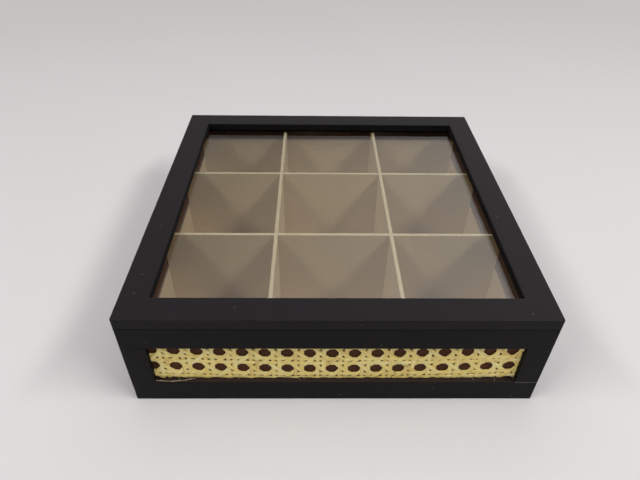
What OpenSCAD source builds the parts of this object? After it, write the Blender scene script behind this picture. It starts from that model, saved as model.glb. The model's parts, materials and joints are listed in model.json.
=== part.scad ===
// Tea bag organizer box: a black painted case with nine compartments under a hinged
// glass lid, and a window of cane webbing let into its front.
// X runs to the right, Y to the back and Z up. The origin is the middle of the underside.

/* [Box] */
// Width of the closed box
box_w = 240; // [190:1:300]
// Depth of the closed box, front to back
box_d = 240; // [190:1:300]
// Height of the closed box with its lid
box_h = 70; // [55:1:110]
// Thickness of the two side walls and the rear wall
wall_t = 7.5; // [4:0.5:10]
// Thickness of the wall behind the cane window
front_wall_t = 5.5; // [4:0.5:8]
// Thickness of the bottom panel
bottom_t = 3; // [2:0.5:6]
// Depth of the rabbets that take the end walls and the bottom panel
rabbet_depth = 2.5; // [1:0.5:3]
// Width of the chamfer that eases an outer edge
arris = 0.5; // [0.2:0.1:1.2]

/* [Front frame] */
// Thickness of the rails and stiles applied to the front
frame_t = 4; // [2.5:0.5:6]
// Height of the bottom rail
frame_bottom_h = 16.6; // [8:0.1:20]
// Height of the top rail
frame_top_h = 15.5; // [8:0.1:20]
// Width of each stile
frame_stile_w = 14.3; // [8:0.1:25]

/* [Cane webbing] */
// Thickness of the woven cane
cane_t = 1.5; // [0.6:0.1:2]
// Distance between neighbouring holes of the weave
cane_pitch = 12.8; // [11:0.1:16]
// Width of one strand of the upright and level pairs
cane_strand_w = 2.6; // [1.8:0.1:3.2]
// Slit between the two strands of a pair
cane_pair_slit = 0.6; // [0.3:0.1:1]
// Width of a diagonal strand
cane_diagonal_w = 2.5; // [1.6:0.1:3]
// How far the weave's middle column of holes lies right of the window's middle
cane_shift_x = -2.4; // [-6:0.1:6]
// How far the weave's middle level pair lies above the window's middle
cane_shift_z = 0.5; // [-6:0.1:6]
// How much higher the level strands lie at the window's ends than in its middle
cane_bow = 3.2; // [0:0.1:5]
// Gap between the cane and the edge of its window
cane_clearance = 0.2; // [0.1:0.1:1]

/* [Dividers] */
// Thickness of the divider boards
divider_t = 2.3; // [2:0.1:6]
// How far the divider tops lie below the rim of the case
divider_drop = 1.2; // [1:0.1:10]
// Play of a divider in its half-lap slot
slot_clearance = 0.1; // [0.05:0.05:0.4]
// Gap between a divider's end and the wall
divider_end_clearance = 0.2; // [0.1:0.1:1]

/* [Lid] */
// Width of the lid's four mitred rails
lid_rail_w = 17; // [14:0.5:30]
// Thickness of the lip that covers the edge of the glass
lip_t = 5.6; // [5:0.1:10]
// Thickness of the glass
glass_t = 1.6; // [1.5:0.1:4]
// Width of the rabbet that the glass lies in
glass_rabbet_w = 6; // [4:0.5:8]
// Gap between the glass and the side of its rabbet
glass_clearance = 0.5; // [0.2:0.1:1]
// Seam between the closed lid and the case
lid_seam = 0.3; // [0.2:0.1:1]
// Thickness of the strips that hold the glass from below
strip_t = 1; // [0.5:0.1:1.2]
// How far the strips stay back from the edge of the lip
strip_setback = 2; // [1:0.5:3]
// Gap between the strips and the walls that they drop between
strip_clearance = 0.5; // [0.3:0.1:1]

/* [Hinges] */
// Distance from the middle of the box to the middle of a hinge
hinge_x = 70; // [30:1:80]
// Length of a hinge along its pin
hinge_len = 16; // [12:1:30]
// Height of a leaf, from the pin's axis to its free edge
leaf_h = 6.5; // [6:0.1:7]
// Thickness of a leaf
leaf_t = 0.6; // [0.4:0.1:0.8]
// Share of a hinge's length that the lid's middle knuckle takes
knuckle_share = 0.36; // [0.3:0.01:0.4]
// Radius of the knuckles
knuckle_r = 1.3; // [1.2:0.1:1.6]
// Radius of the pin
pin_r = 0.6; // [0.5:0.05:0.7]
// Radial play of the pin in the knuckles
pin_clearance = 0.05; // [0.02:0.01:0.1]
// Gap between the knuckles and what turns past them
knuckle_clearance = 0.3; // [0.2:0.05:0.5]
// Thickness of the pin's riveted ends
pin_end_t = 0.4; // [0.2:0.1:1]
// Radius of a nail's shank
nail_r = 0.5; // [0.4:0.05:0.6]
// Length of a nail under its head
nail_len = 4; // [2:0.5:4.5]
// Radius of a nail's head
nail_head_r = 1.1; // [0.8:0.1:1.3]
// Thickness of a nail's head
nail_head_t = 0.4; // [0.2:0.1:0.6]
// Radial play of a nail in its hole
nail_clearance = 0.05; // [0.02:0.01:0.1]
// Distance from the pin's axis to the nails
nail_drop = 4.3; // [4:0.1:4.8]
// Distance from a leaf's end to its nearer nail
nail_inset = 3.5; // [2.5:0.1:5]

/* [Hidden] */

black_paint = "#1d1b1e";
bare_board = "#8a7452";
cane_straw = "#d9c37e";
clear_glass = [0.8, 0.85, 0.85, 0.35];
hinge_metal = "#9a7a3c";

// A cut that opens through a face runs past it by this much.
past = 1;

// Outer faces
half_w = box_w / 2;
half_d = box_d / 2;
lid_t = lip_t + glass_t;
lid_z = box_h - lid_t;
case_h = lid_z - lid_seam;

// Faces of the front, from outside in
frame_back_y = -half_d + frame_t;
front_inner_y = frame_back_y + front_wall_t;

// Inner faces of the other walls
inner_x = half_w - wall_t;
inner_y = half_d - wall_t;

// Outlines of the front wall, rear wall and bottom in their rabbets
tongue_x = inner_x + rabbet_depth;
bottom_front_y = front_inner_y - rabbet_depth;
bottom_rear_y = inner_y + rabbet_depth;

// Window in the front frame
window_x = half_w - frame_stile_w;
window_bottom = frame_bottom_h;
window_top = case_h - frame_top_h;

// Equal compartments each way
cells = 3;
cell_w = (2 * inner_x - (cells - 1) * divider_t) / cells;
cell_d = (inner_y - front_inner_y - (cells - 1) * divider_t) / cells;
divider_x = cell_w / 2 + divider_t / 2;
divider_y_front = front_inner_y + cell_d + divider_t / 2;
divider_y_rear = inner_y - cell_d - divider_t / 2;
divider_top = case_h - divider_drop;
lap_z = (bottom_t + divider_top) / 2;

// Lid opening, glass and the strips under it
opening_x = half_w - lid_rail_w;
opening_y = half_d - lid_rail_w;
glass_half_x = opening_x + glass_rabbet_w - glass_clearance;
glass_half_y = opening_y + glass_rabbet_w - glass_clearance;
strip_inner_x = opening_x + strip_setback;
strip_inner_y = opening_y + strip_setback;
strip_outer_x = inner_x - strip_clearance;
strip_rear_y = inner_y - strip_clearance;
strip_front_y = front_inner_y + strip_clearance;

// Hinge axis, behind the seam, and the lengths of its knuckles
axis_y = half_d + knuckle_r + knuckle_clearance;
axis_z = case_h + lid_seam / 2;
lid_knuckle_len = hinge_len * knuckle_share;
case_knuckle_len = (hinge_len - lid_knuckle_len) / 2 - knuckle_clearance;

// ---- case ---------------------------------------------------------------

// A board from one corner to the opposite corner
module board(low, high) {
    translate(low) cube(high - low);
}

// A side wall that stands left of the middle, with rabbets for what it carries
module side_wall() {
    difference() {
        linear_extrude(case_h) polygon([
            [-half_w, frame_back_y],
            [-inner_x, frame_back_y],
            [-inner_x, half_d],
            [-half_w + arris, half_d],
            [-half_w, half_d - arris]
        ]);
        board([-tongue_x, frame_back_y - past, -past],
              [-inner_x + past, front_inner_y, case_h + past]);
        board([-tongue_x, inner_y, -past],
              [-inner_x + past, half_d + past, case_h + past]);
        board([-tongue_x, front_inner_y - past, -past],
              [-inner_x + past, inner_y + past, bottom_t]);
    }
}

module left_wall() {
    color(black_paint) side_wall();
}

module right_wall() {
    color(black_paint) mirror([1, 0, 0]) side_wall();
}

// Two nail holes for each hinge, at a height above or below its axis
module nail_holes(dz) {
    for (side = [-1, 1], end = [-1, 1])
        translate([side * hinge_x + end * (hinge_len / 2 - nail_inset), half_d + past, axis_z + dz])
            rotate([90, 0, 0])
                cylinder(h = nail_len + past, r = nail_r + nail_clearance, $fn = 24);
}

module rear_wall() {
    color(black_paint) difference() {
        board([-tongue_x, inner_y, 0], [tongue_x, half_d, case_h]);
        board([-tongue_x - past, inner_y - past, -past],
              [tongue_x + past, bottom_rear_y, bottom_t]);
        nail_holes(-nail_drop);
    }
}

module front_wall() {
    color(bare_board) difference() {
        board([-tongue_x, frame_back_y, 0], [tongue_x, front_inner_y, case_h]);
        board([-tongue_x - past, bottom_front_y, -past],
              [tongue_x + past, front_inner_y + past, bottom_t]);
    }
}

module bottom_panel() {
    color(bare_board)
        board([-tongue_x, bottom_front_y, 0], [tongue_x, bottom_rear_y, bottom_t]);
}

// ---- front frame --------------------------------------------------------

// A full-width rail of the front frame with eased outer corners
module frame_rail(low_z, high_z) {
    translate([0, 0, low_z]) linear_extrude(high_z - low_z) polygon([
        [-half_w + arris, -half_d],
        [half_w - arris, -half_d],
        [half_w, -half_d + arris],
        [half_w, frame_back_y],
        [-half_w, frame_back_y],
        [-half_w, -half_d + arris]
    ]);
}

module front_bottom_rail() {
    color(black_paint) frame_rail(0, window_bottom);
}

module front_top_rail() {
    color(black_paint) frame_rail(window_top, case_h);
}

// A stile between the rails, left of the window
module stile() {
    translate([0, 0, window_bottom]) linear_extrude(window_top - window_bottom) polygon([
        [-half_w + arris, -half_d],
        [-window_x, -half_d],
        [-window_x, frame_back_y],
        [-half_w, frame_back_y],
        [-half_w, -half_d + arris]
    ]);
}

module front_left_stile() {
    color(black_paint) stile();
}

module front_right_stile() {
    color(black_paint) mirror([1, 0, 0]) stile();
}

// ---- cane webbing -------------------------------------------------------

// Half the width of a pair of strands, and half that of a hole between two pairs
pair_half = cane_strand_w + cane_pair_slit / 2;
hole_half = cane_pitch / 2 - pair_half;
// The diagonals cut a hole's corners off: half the length of the sides that stay
hole_side_half = cane_pitch / 2 - cane_diagonal_w / sqrt(2) - hole_half;
// Where the two crossing diagonals close the slit of a pair
slit_end = cane_pitch / 2 - cane_diagonal_w / sqrt(2);
cane_columns = ceil(window_x / cane_pitch) + 1;
cane_rows = ceil((window_top - window_bottom) / 2 / cane_pitch) + 1;

// The octagon that two level pairs, two upright pairs and four diagonals leave open
module octagonal_hole() {
    polygon([for (turn = [0 : 90 : 270], side = [-1, 1])
        [hole_half * cos(turn) - side * hole_side_half * sin(turn),
         hole_half * sin(turn) + side * hole_side_half * cos(turn)]]);
}

// The small gaps round a crossing of two pairs: one in its middle and one in each slit
module crossing_gaps() {
    square(cane_pair_slit, center = true);
    for (turn = [0 : 90 : 270])
        rotate(turn) polygon([
            [pair_half, -cane_pair_slit / 2],
            [slit_end - cane_pair_slit / 2, -cane_pair_slit / 2],
            [slit_end, 0],
            [slit_end - cane_pair_slit / 2, cane_pair_slit / 2],
            [pair_half, cane_pair_slit / 2]
        ]);
}

// How far the bowed weave has risen at a distance from the middle column of holes
function weave_rise(x) = cane_bow * pow((x + cane_shift_x) / window_x, 2);

// The six-way weave seen flat, with level pairs, upright pairs and two families of
// diagonals, drawn as what its strands leave open
module six_way_openings() {
    for (i = [-cane_columns : cane_columns], j = [-cane_rows : cane_rows]) {
        hole_x = i * cane_pitch;
        crossing_x = (i + 0.5) * cane_pitch;
        translate([hole_x, (j + 0.5) * cane_pitch + weave_rise(hole_x)]) octagonal_hole();
        translate([crossing_x, j * cane_pitch + weave_rise(crossing_x)]) crossing_gaps();
    }
}

module cane_panel() {
    color(cane_straw)
        translate([0, frame_back_y, (window_bottom + window_top) / 2])
            rotate([90, 0, 0])
                linear_extrude(cane_t) difference() {
                    square([2 * (window_x - cane_clearance),
                            window_top - window_bottom - 2 * cane_clearance], center = true);
                    translate([cane_shift_x, cane_shift_z]) six_way_openings();
                }
}

// ---- dividers -----------------------------------------------------------

// Half the width of a half-lap slot
slot_half = divider_t / 2 + slot_clearance;

// A divider that runs front to back, slotted from above
module long_divider(x) {
    color(bare_board) difference() {
        board([x - divider_t / 2, front_inner_y + divider_end_clearance, bottom_t],
              [x + divider_t / 2, inner_y - divider_end_clearance, divider_top]);
        for (y = [divider_y_front, divider_y_rear])
            board([x - divider_t, y - slot_half, lap_z - slot_clearance],
                  [x + divider_t, y + slot_half, divider_top + past]);
    }
}

// A divider that runs from side to side, slotted from below
module cross_divider(y) {
    color(bare_board) difference() {
        board([-inner_x + divider_end_clearance, y - divider_t / 2, bottom_t],
              [inner_x - divider_end_clearance, y + divider_t / 2, divider_top]);
        for (x = [-divider_x, divider_x])
            board([x - slot_half, y - divider_t, bottom_t - past],
                  [x + slot_half, y + divider_t, lap_z]);
    }
}

module divider_left() {
    long_divider(-divider_x);
}

module divider_right() {
    long_divider(divider_x);
}

module divider_front() {
    cross_divider(divider_y_front);
}

module divider_rear() {
    cross_divider(divider_y_rear);
}

// ---- lid ----------------------------------------------------------------

// Cross-section of a lid rail, its outer face at the left and the glass rabbet below right
module rail_profile() {
    polygon([
        [0, 0],
        [lid_rail_w - glass_rabbet_w, 0],
        [lid_rail_w - glass_rabbet_w, glass_t],
        [lid_rail_w, glass_t],
        [lid_rail_w, lid_t - arris],
        [lid_rail_w - arris, lid_t],
        [arris, lid_t],
        [0, lid_t - arris]
    ]);
}

// A lid rail along X, mitred at both ends, its outer face on y = 0
module lid_rail(length) {
    intersection() {
        rotate([90, 0, 90]) linear_extrude(length, center = true) rail_profile();
        linear_extrude(lid_t) polygon([
            [-length / 2 + arris, 0],
            [length / 2 - arris, 0],
            [length / 2 - arris / 2, arris / 2],
            [length / 2 - lid_rail_w, lid_rail_w],
            [-length / 2 + lid_rail_w, lid_rail_w],
            [-length / 2 + arris / 2, arris / 2]
        ]);
    }
}

module lid_front_rail() {
    color(black_paint) translate([0, -half_d, lid_z]) lid_rail(box_w);
}

module lid_rear_rail() {
    color(black_paint) difference() {
        translate([0, half_d, lid_z]) rotate(180) lid_rail(box_w);
        nail_holes(nail_drop);
    }
}

module lid_left_rail() {
    color(black_paint) translate([-half_w, 0, lid_z]) rotate(-90) lid_rail(box_d);
}

module lid_right_rail() {
    color(black_paint) translate([half_w, 0, lid_z]) rotate(90) lid_rail(box_d);
}

module glass_pane() {
    color(clear_glass) board([-glass_half_x, -glass_half_y, lid_z],
                             [glass_half_x, glass_half_y, lid_z + glass_t]);
}

// A strip under the lid, from one corner to the opposite corner
module glass_strip(low, high) {
    color(black_paint) board([low.x, low.y, lid_z - strip_t], [high.x, high.y, lid_z]);
}

module glass_strip_front() {
    glass_strip([-strip_outer_x, strip_front_y], [strip_outer_x, -strip_inner_y]);
}

module glass_strip_rear() {
    glass_strip([-strip_outer_x, strip_inner_y], [strip_outer_x, strip_rear_y]);
}

module glass_strip_left() {
    glass_strip([-strip_outer_x, -strip_inner_y], [-strip_inner_x, strip_inner_y]);
}

module glass_strip_right() {
    glass_strip([strip_inner_x, -strip_inner_y], [strip_outer_x, strip_inner_y]);
}

// ---- hinges -------------------------------------------------------------

// A cylinder along X from one end to the other, on the hinge axis
module along_axis(from, to, radius) {
    translate([from, axis_y, axis_z])
        rotate([0, 90, 0])
            cylinder(h = to - from, r = radius, $fn = 48);
}

// One hinge leaf about x = 0. up is 1 for the lid's leaf and -1 for the case's.
// knuckles lists the ends of its own knuckles, others those that turn past it.
module leaf(up, knuckles, others) {
    free_edge = axis_z + up * leaf_h;
    clear_edge = knuckle_r + knuckle_clearance;
    color(hinge_metal) difference() {
        union() {
            board([-hinge_len / 2, half_d, min(axis_z, free_edge)],
                  [hinge_len / 2, half_d + leaf_t, max(axis_z, free_edge)]);
            for (k = knuckles) {
                along_axis(k[0], k[1], knuckle_r);
                board([k[0], half_d, axis_z - (up > 0 ? 0 : knuckle_r)],
                      [k[1], axis_y, axis_z + (up > 0 ? knuckle_r : 0)]);
            }
        }
        for (k = others)
            board([k[0], half_d - past, axis_z - clear_edge],
                  [k[1], axis_y + knuckle_r + past, axis_z + clear_edge]);
        along_axis(-hinge_len, hinge_len, pin_r + pin_clearance);
        for (end = [-1, 1])
            translate([end * (hinge_len / 2 - nail_inset), half_d + leaf_t + past,
                       axis_z + up * nail_drop])
                rotate([90, 0, 0])
                    cylinder(h = leaf_t + 2 * past, r = nail_r + nail_clearance, $fn = 24);
    }
}

// Ends of the lid's middle knuckle, and of the case's two outer ones
lid_knuckles = [[-lid_knuckle_len / 2, lid_knuckle_len / 2]];
case_knuckles = [
    [-hinge_len / 2, -hinge_len / 2 + case_knuckle_len],
    [hinge_len / 2 - case_knuckle_len, hinge_len / 2]
];
// The room that each leaf leaves for the other's knuckles
lid_room = [[-lid_knuckle_len / 2 - knuckle_clearance, lid_knuckle_len / 2 + knuckle_clearance]];
case_room = [
    [-hinge_len / 2 - past, -hinge_len / 2 + case_knuckle_len + knuckle_clearance],
    [hinge_len / 2 - case_knuckle_len - knuckle_clearance, hinge_len / 2 + past]
];

module case_leaf() {
    leaf(-1, case_knuckles, lid_room);
}

module lid_leaf() {
    leaf(1, lid_knuckles, case_room);
}

// The pin, riveted over at both ends
module hinge_pin() {
    color(hinge_metal) {
        along_axis(-hinge_len / 2 - pin_end_t, hinge_len / 2 + pin_end_t, pin_r);
        for (side = [-1, 1])
            along_axis(min(side * hinge_len / 2, side * (hinge_len / 2 + pin_end_t)),
                       max(side * hinge_len / 2, side * (hinge_len / 2 + pin_end_t)),
                       (pin_r + knuckle_r) / 2);
    }
}

// The four nails of the case's leaves or of the lid's
module nails(dz) {
    for (side = [-1, 1], end = [-1, 1])
        color(hinge_metal)
            translate([side * hinge_x + end * (hinge_len / 2 - nail_inset),
                       half_d + leaf_t, axis_z + dz])
                rotate([90, 0, 0]) {
                    translate([0, 0, -nail_head_t])
                        cylinder(h = nail_head_t, r = nail_head_r, $fn = 32);
                    cylinder(h = nail_len - leaf_t, r = nail_r, $fn = 24);
                }
}

module hinge_left_case_leaf() {
    translate([-hinge_x, 0, 0]) case_leaf();
}

module hinge_left_lid_leaf() {
    translate([-hinge_x, 0, 0]) lid_leaf();
}

module hinge_left_pin() {
    translate([-hinge_x, 0, 0]) hinge_pin();
}

module hinge_right_case_leaf() {
    translate([hinge_x, 0, 0]) case_leaf();
}

module hinge_right_lid_leaf() {
    translate([hinge_x, 0, 0]) lid_leaf();
}

module hinge_right_pin() {
    translate([hinge_x, 0, 0]) hinge_pin();
}

module hinge_case_nails() {
    nails(-nail_drop);
}

module hinge_lid_nails() {
    nails(nail_drop);
}

bottom_panel();
left_wall();
right_wall();
rear_wall();
front_wall();
front_bottom_rail();
front_top_rail();
front_left_stile();
front_right_stile();
cane_panel();
divider_left();
divider_right();
divider_front();
divider_rear();
lid_front_rail();
lid_rear_rail();
lid_left_rail();
lid_right_rail();
glass_pane();
glass_strip_front();
glass_strip_rear();
glass_strip_left();
glass_strip_right();
hinge_left_case_leaf();
hinge_left_lid_leaf();
hinge_left_pin();
hinge_right_case_leaf();
hinge_right_lid_leaf();
hinge_right_pin();
hinge_case_nails();
hinge_lid_nails();
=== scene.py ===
"""The looks of a tea bag organizer box: black painted boards, a window of woven cane,
nine bare compartments and a glass lid, dressed round the fixed frame of the part."""

import json
import math
import random

import bpy
from bpy.props import FloatProperty, FloatVectorProperty, IntProperty, PointerProperty
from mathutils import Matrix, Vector

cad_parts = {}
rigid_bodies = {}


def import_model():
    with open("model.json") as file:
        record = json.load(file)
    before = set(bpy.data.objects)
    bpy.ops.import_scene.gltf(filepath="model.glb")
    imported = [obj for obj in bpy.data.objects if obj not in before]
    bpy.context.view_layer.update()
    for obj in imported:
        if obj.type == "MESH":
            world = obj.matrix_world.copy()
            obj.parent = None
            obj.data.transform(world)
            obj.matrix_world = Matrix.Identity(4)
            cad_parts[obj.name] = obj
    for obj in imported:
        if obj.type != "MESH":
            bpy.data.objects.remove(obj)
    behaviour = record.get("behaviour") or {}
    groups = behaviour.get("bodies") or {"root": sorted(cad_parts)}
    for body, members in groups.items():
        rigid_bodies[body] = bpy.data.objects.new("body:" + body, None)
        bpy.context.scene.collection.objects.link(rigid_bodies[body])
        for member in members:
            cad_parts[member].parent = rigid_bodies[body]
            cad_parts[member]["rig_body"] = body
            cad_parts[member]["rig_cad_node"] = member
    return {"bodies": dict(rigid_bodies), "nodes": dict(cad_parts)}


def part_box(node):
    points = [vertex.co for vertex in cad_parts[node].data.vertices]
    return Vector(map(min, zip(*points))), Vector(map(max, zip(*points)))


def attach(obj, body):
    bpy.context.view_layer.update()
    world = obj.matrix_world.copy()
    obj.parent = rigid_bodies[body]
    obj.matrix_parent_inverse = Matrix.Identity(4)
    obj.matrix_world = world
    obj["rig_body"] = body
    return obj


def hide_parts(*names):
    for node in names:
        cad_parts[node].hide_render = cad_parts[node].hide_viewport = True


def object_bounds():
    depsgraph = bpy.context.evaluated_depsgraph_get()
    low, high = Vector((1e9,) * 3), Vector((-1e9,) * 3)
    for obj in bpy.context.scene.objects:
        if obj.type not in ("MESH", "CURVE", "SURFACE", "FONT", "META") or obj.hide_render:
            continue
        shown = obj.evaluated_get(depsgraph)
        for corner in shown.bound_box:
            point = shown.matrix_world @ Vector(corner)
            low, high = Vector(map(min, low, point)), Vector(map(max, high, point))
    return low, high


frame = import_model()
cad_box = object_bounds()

bl_info = {
    "name": "Tea Bag Box Looks",
    "version": (1, 0, 0),
    "blender": (4, 5, 0),
    "location": "View3D > Sidebar > Tea Box",
    "description": "Dresses a nine-compartment tea bag box with paint, cane, glass and brass",
    "category": "Object",
}

MM = 0.001

# Two points of a CAD copy closer than this are one.
MERGE = 0.002 * MM
# Faces that differ by less than this are one flat face.
FLAT = math.radians(0.5)
# An edge where the faces turn by more than this is sharp.
SHARP = math.radians(20)
# The least share of a straight edge's length that lies along its axis.
STRAIGHT = 0.999
# The turns up to which rounded boards and cane strands are shaded smooth.
SMOOTH_BOARD = math.radians(40)
SMOOTH_CANE = math.radians(50)
# The least share of a face's normal along the way it looks, roughly and squarely.
FACING = 0.9
SQUARE_ON = 0.99
WHITE = (1.0, 1.0, 1.0)


def srgb(red, green, blue):
    """The linear colour of three 0 to 255 screen values."""
    shares = (red / 255, green / 255, blue / 255)
    return tuple(s / 12.92 if s <= 0.04045 else ((s + 0.055) / 1.055) ** 2.4 for s in shares)


def scaled(tone, factor):
    """A colour made darker or lighter."""
    return tuple(factor * part for part in tone)


# ---- sizes and colours a user would change ----


def colour(name, what, default):
    """A property with a picker, for the colour of something."""
    return FloatVectorProperty(name=name, description="Colour of " + what, default=default,
                               subtype="COLOR", size=3, min=0.0, max=1.0)


def number(name, description, default, **limits):
    """A number property, from 0 up where no other least value is given."""
    return FloatProperty(name=name, description=description, default=default,
                         **{"min": 0.0, **limits})


def fraction(name, description, default):
    """A number property from 0 to 1."""
    return number(name, description, default, max=1.0, subtype="FACTOR")


def metres(name, description, default, **limits):
    """A length property in metres."""
    return number(name, description, default, unit="LENGTH", **limits)


def millimetres(name, description, default, **limits):
    """A length property whose default is given in millimetres and held in metres."""
    return metres(name, description, default * MM, **limits)


def watts(name, description, default):
    """The power of a lamp."""
    return number(name, description, default, unit="POWER")


class PaintSettings(bpy.types.PropertyGroup):
    """The black satin paint of the case and the lid."""
    tone: colour("Paint", "the paint", srgb(29, 27, 29))
    # The front frame's darker paint is painted shade: its face lies on the dim side of the light.
    shaded_front_tone: colour("Frame paint", "the thicker paint on the front frame", srgb(20, 18, 19))
    speck: colour("Dust", "the dust specks on the paint", srgb(150, 148, 150))
    gloss: fraction("Roughness", "Roughness of the paint", 0.5)
    shine: fraction("Shine", "Specular level of the paint", 0.08)
    # The inner paint is darker than the rest: painted shade on the faces that look into the lid's
    # opening.
    inner: colour("Inner paint", "the thin paint on the lid's inner edges", srgb(15, 14, 14))
    # A painted highlight: a pale line along the joint where the bottom rail's rounded edge faces
    # up, under the right stile.
    joint_highlight: colour("Scuff", "the scuffed joint under the right stile", srgb(158, 150, 142))
    easing: millimetres("Easing", "Radius that rounds the painted edges", 0.25)
    corner: millimetres("Corner", "Radius of the four upright outer corners", 1.2)
    joint: millimetres("Joint", "Width of the hairline where painted boards meet", 0.06)


class BoardSettings(bpy.types.PropertyGroup):
    """The bare board of the compartments and of the wall behind the cane."""
    face: colour("Face", "the board's faces", srgb(201, 178, 142))
    fibre: colour("Fibres", "the darker fibres in the faces", srgb(181, 157, 121))
    grain: colour("Grains", "the pale grains in the board", (0.9, 0.85, 0.75))
    edge: colour("Cut edge", "the dividers' cut edges", srgb(192, 173, 141))
    backing: colour("Backing", "the board behind the cane", srgb(76, 38, 10))
    # The top of the bottom rail in the window is dark brown where it shows under the cane.
    sill: colour("Sill", "the rail's bare top in front of the cane", srgb(38, 24, 18))
    # The walls' dark colour near the rim is painted shade for the shade under the lid's rails; it
    # runs further down the side walls.
    rim_shade: colour("Stain", "the walls' inner faces near the rim", srgb(84, 60, 48))
    rim_shade_depth: millimetres("Stain depth", "How far the stain runs down the rear wall", 12.5)
    side_rim_shade_depth: millimetres("Side stain depth", "How far it runs down the side walls", 30.0)
    rim_shade_fade: millimetres("Stain fade", "Height over which the stain thins out", 3.0)
    easing: millimetres("Easing", "Radius that rounds a divider's top edges", 0.2)


class CaneSettings(bpy.types.PropertyGroup):
    """The six-way cane webbing in the front window."""
    straw: colour("Straw", "most of the cane", srgb(252, 228, 136))
    tan: colour("Tan", "the browner strands", srgb(238, 207, 122))
    pale: colour("Pale", "the palest strands", srgb(255, 242, 174))
    groove: colour("Grooves", "the fine grooves along a strand", srgb(160, 124, 66))
    pitch: millimetres("Pitch", "Distance between neighbouring holes", 12.8)
    pair_width: millimetres("Level strand", "Width of a strand of the level pairs", 2.65)
    upright_width: millimetres("Upright strand", "Width of a strand of the upright pairs", 2.3)
    pair_slit: millimetres("Slit", "Slit between the two strands of a pair", 0.9)
    diagonal_width: millimetres("Diagonal", "Width of a diagonal strand", 2.35)
    thickness: millimetres("Thickness", "Thickness of a strand", 0.4)
    crown: millimetres("Crown", "How far a strand's edges fall behind its middle", 0.2)
    middle: millimetres("Middle", "Height of a strand's face over the backing board", 1.0)
    pair_swing: millimetres("Pair swing", "How far the pairs swing over and under", 0.28)
    diagonal_swing: millimetres("Diagonal swing", "How far the diagonals swing likewise", 0.34)
    shift_x: millimetres("Shift X", "Hole column nearest the window's middle", -2.4, min=-1.0)
    shift_z: millimetres("Shift Z", "Level pair nearest the window's middle", 0.5, min=-1.0)
    bow: millimetres("Bow", "How much higher the weave lies at the window's ends", 3.2)
    stretch: number("Stretch", "How much taller than wide a mesh is", 1.08, min=0.5, max=2.0)
    trim: millimetres("Trim", "How far above the sill the webbing is cut off", 0.3)
    fray: millimetres("Fray", "How unevenly the strands are cut off above the sill", 1.3)
    unevenness: millimetres("Unevenness", "How far a strand strays from its place", 0.12)
    fibre: colour("Fibre", "the loose fibres", srgb(214, 204, 186))
    whiskers: IntProperty(name="Whiskers", description="Number of loose fibre ends", default=18,
                          min=0)
    seed: IntProperty(name="Seed", description="Start of the random draws", default=7)


class GlassSettings(bpy.types.PropertyGroup):
    """The pane of the lid."""
    tint: colour("Tint", "the light that one face of the pane lets through", (0.955, 0.965, 0.955))
    head_on: fraction("Reflection", "Share mirrored when seen head on", 0.043)
    dust: colour("Dust", "the dust specks on the pane", srgb(214, 210, 204))
    easing: millimetres("Easing", "Radius of the pane's ground edges", 0.3)


class BrassSettings(bpy.types.PropertyGroup):
    """The hinges and their nails."""
    bright: colour("Brass", "the rubbed brass", srgb(196, 160, 98))
    tarnish: colour("Tarnish", "the tarnish", srgb(104, 78, 44))
    easing: millimetres("Easing", "Radius that rounds the brass edges", 0.12)


class StageSettings(bpy.types.PropertyGroup):
    """The floor, the lamps, the background and the camera."""
    floor: colour("Floor", "the floor", srgb(223, 220, 220))
    floor_cloud: colour("Floor cloud", "the floor's faint patches", srgb(211, 208, 208))
    floor_size: metres("Floor size", "Width of the floor", 8.0)
    backdrop: colour("Background", "the background and of the distant floor", srgb(205, 202, 200))
    near: metres("Near floor", "Where the floor starts to fade", 0.55)
    far: metres("Far floor", "Where the floor is all background", 1.3)
    sky: colour("Mirrored sky", "the sky that glass and metal mirror", srgb(255, 252, 250))
    sky_middle: number("Sky", "Strength of the mirrored sky 30 degrees up", 0.60)
    sky_right: number("Sky rightwards", "How much brighter it grows to the right", 1.55)
    sky_up: number("Sky upwards", "How much brighter it grows upwards", 2.8)
    sky_least: number("Dimmest sky", "Least strength of the mirrored sky", 0.45)
    sky_most: number("Brightest sky", "Greatest strength of the mirrored sky", 1.6)
    ambient: number("Ambient", "Strength of the light from all round", 0.05)
    right_lamp: watts("Right lamp", "Power of the lamp on the right", 12.0)
    left_lamp: watts("Left lamp", "Power of the lamp on the left", 8.8)
    front_lamp: watts("Front lamp", "Power of the overhead lamp in front", 1.5)
    rear_lamp: watts("Rear lamp", "Power of the overhead lamp behind", 19.0)
    top_size: metres("Top size", "Width of an overhead lamp", 2.4)
    top_height: metres("Top height", "Height of the overhead lamps", 2.0)
    top_spread: metres("Top spread", "How far the overhead lamps hang in front and behind", 0.65)
    lamp_distance: metres("Lamp distance", "From the box to a side lamp", 1.5)
    lamp_height: number("Lamp height", "Angle of a side lamp above the floor", math.radians(53),
                        subtype="ANGLE")
    lamp_forward: metres("Lamp forward", "How far a side lamp stands in front of the box", 0.45)
    lamp_width: metres("Lamp width", "Width of a side lamp", 0.16)
    lamp_length: metres("Lamp length", "Length of a side lamp", 0.9)
    camera_place: FloatVectorProperty(name="Camera", description="Place of the camera",
                                      default=(-13.86 * MM, -304.02 * MM, 274.54 * MM),
                                      subtype="TRANSLATION", unit="LENGTH")
    camera_turn: FloatVectorProperty(name="Camera turn", description="Turn of the camera",
                                     default=[math.radians(a) for a in (50.80, -0.68, -0.49)],
                                     subtype="EULER", unit="ROTATION")
    lens: number("Lens", "Focal length of the camera in mm", 29.27)


SETTINGS = {
    "tea_paint": PaintSettings,
    "tea_board": BoardSettings,
    "tea_cane": CaneSettings,
    "tea_glass": GlassSettings,
    "tea_brass": BrassSettings,
    "tea_stage": StageSettings,
}


# ---- materials ----


def math_method(operation):
    """A method of a value that adds a Math node on it and another."""
    def method(self, other):
        return self.graph.add("Math", {"operation": operation}, {0: self, 1: other})
    return method


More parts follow.
